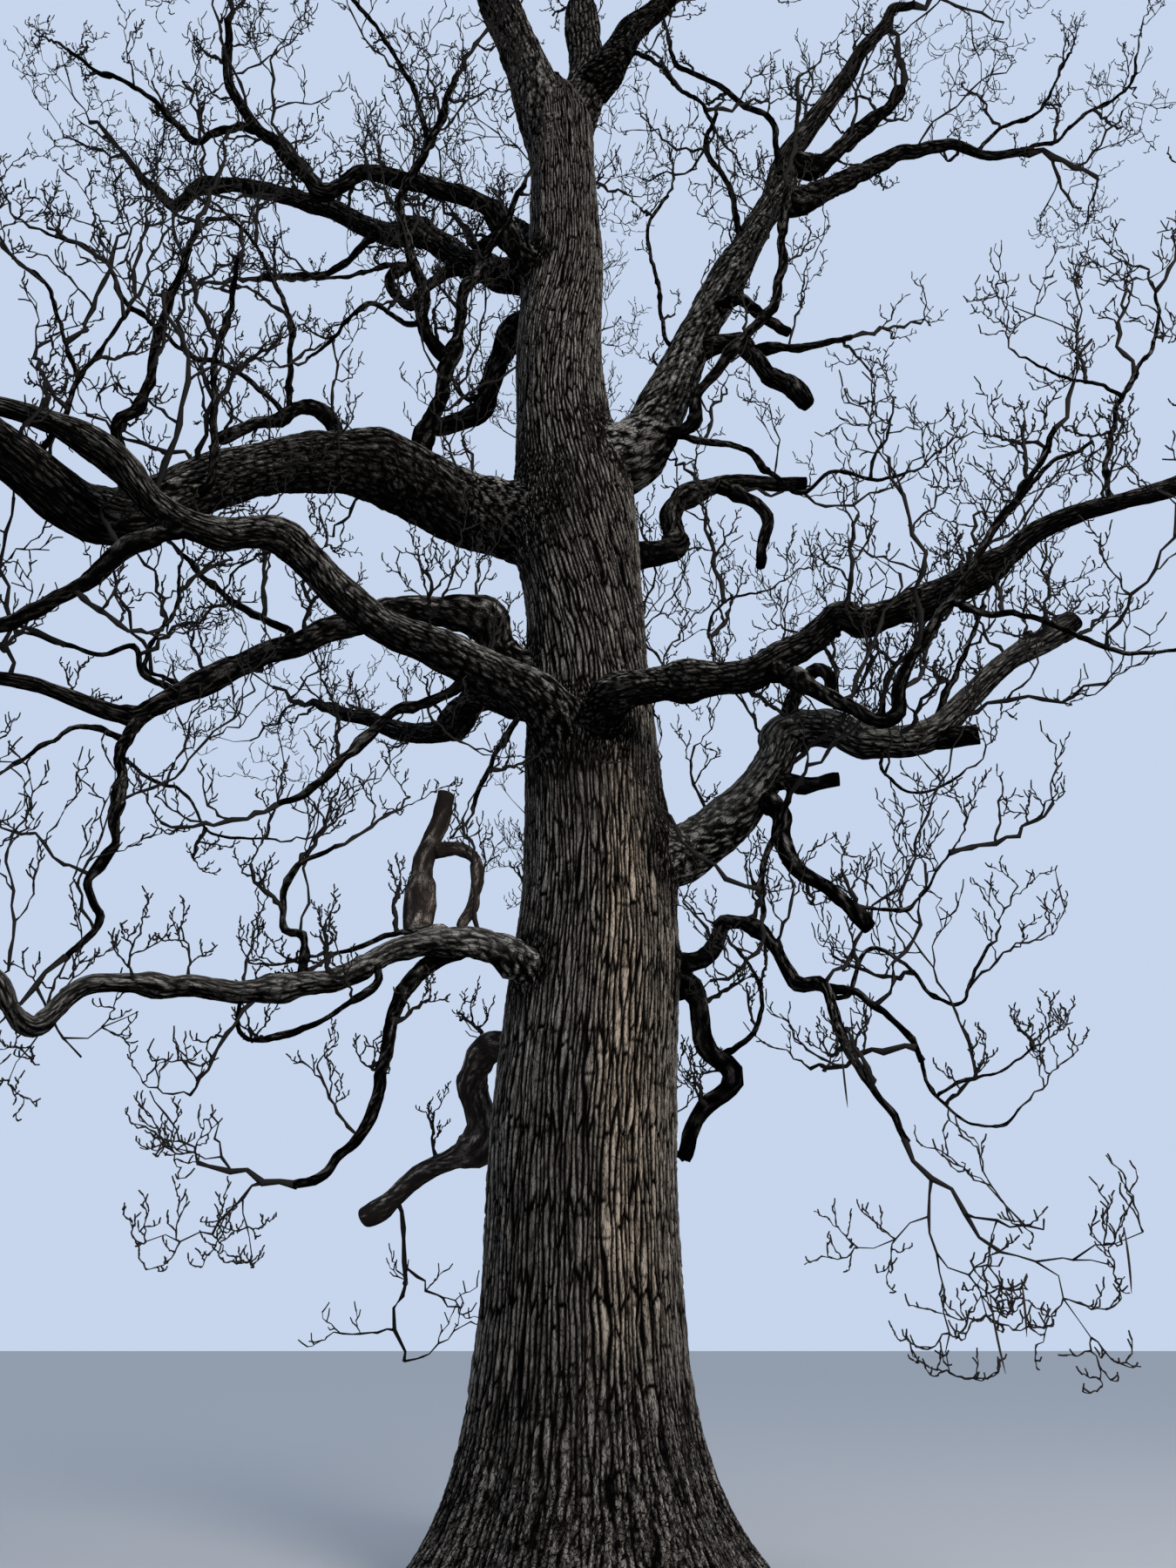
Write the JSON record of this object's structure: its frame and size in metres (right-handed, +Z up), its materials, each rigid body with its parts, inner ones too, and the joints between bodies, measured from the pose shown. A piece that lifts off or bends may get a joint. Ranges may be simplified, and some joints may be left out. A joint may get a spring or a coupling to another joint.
{
  "type": "bare catalpa tree",
  "caption": "Large old catalpa in winter: flared, ridged trunk forking high up, long crooked boughs, cut and broken stubs, and open masses of bare upturned twigs.",
  "frame": {"origin": "middle of the trunk's flat foot, on level ground", "axes": "+Z up; +X to the right and +Y away, seen from the side where the great bough reaches out to the left"},
  "size_m": [15.982, 13.7131, 23.4446],
  "materials": {
    "trunk_bark": "rough grey-brown bark in long interlacing ridges with near-black furrows",
    "bough_bark": "rough dark grey-brown bark, finely furrowed",
    "dead_bark": "weathered grey dead wood with scraps of bark",
    "twigs": "matt brown-grey winter twigs and dry pods"
  },
  "bodies": {
    "root": {"trunk": "trunk_bark", "left_leader": "bough_bark", "right_leader": "bough_bark", "top_right_bough": "bough_bark", "right_limb": "bough_bark", "right_reach": "bough_bark", "knee_bough": "bough_bark", "right_bough": "bough_bark", "right_bough_fork": "bough_bark", "broken_bough": "bough_bark", "upright_shoot": "bough_bark", "low_right_bough": "bough_bark", "low_back_stub": "bough_bark", "great_left_bough": "bough_bark", "great_left_reach": "bough_bark", "great_left_riser": "bough_bark", "left_bough": "bough_bark", "left_bough_fork": "bough_bark", "second_left_bough": "bough_bark", "second_left_drop": "bough_bark", "upper_left_bough": "bough_bark", "upper_left_fork": "bough_bark", "back_left_stub": "bough_bark", "low_left_bough": "bough_bark", "low_left_drop": "bough_bark", "dead_left_limb": "dead_bark", "back_low_bough": "bough_bark", "back_left_bough": "bough_bark", "back_right_bough": "bough_bark", "back_middle_bough": "bough_bark", "back_high_bough": "bough_bark", "back_top_left_bough": "bough_bark", "back_top_right_bough": "bough_bark", "left_leader_twigs": "twigs", "right_leader_twigs": "twigs", "top_right_bough_twigs": "twigs", "right_limb_twigs": "twigs", "right_reach_twigs": "twigs", "right_bough_twigs": "twigs", "right_bough_fork_twigs": "twigs", "upright_shoot_twigs": "twigs", "low_right_bough_twigs": "twigs", "great_left_reach_twigs": "twigs", "great_left_riser_twigs": "twigs", "left_bough_twigs": "twigs", "left_bough_fork_twigs": "twigs", "second_left_bough_twigs": "twigs", "second_left_drop_twigs": "twigs", "upper_left_bough_twigs": "twigs", "upper_left_fork_twigs": "twigs", "low_left_bough_twigs": "twigs", "low_left_drop_twigs": "twigs", "back_low_bough_twigs": "twigs", "back_left_bough_twigs": "twigs", "back_right_bough_twigs": "twigs", "back_middle_bough_twigs": "twigs", "back_high_bough_twigs": "twigs", "back_top_left_bough_twigs": "twigs", "back_top_right_bough_twigs": "twigs"}
  },
  "joints": []
}
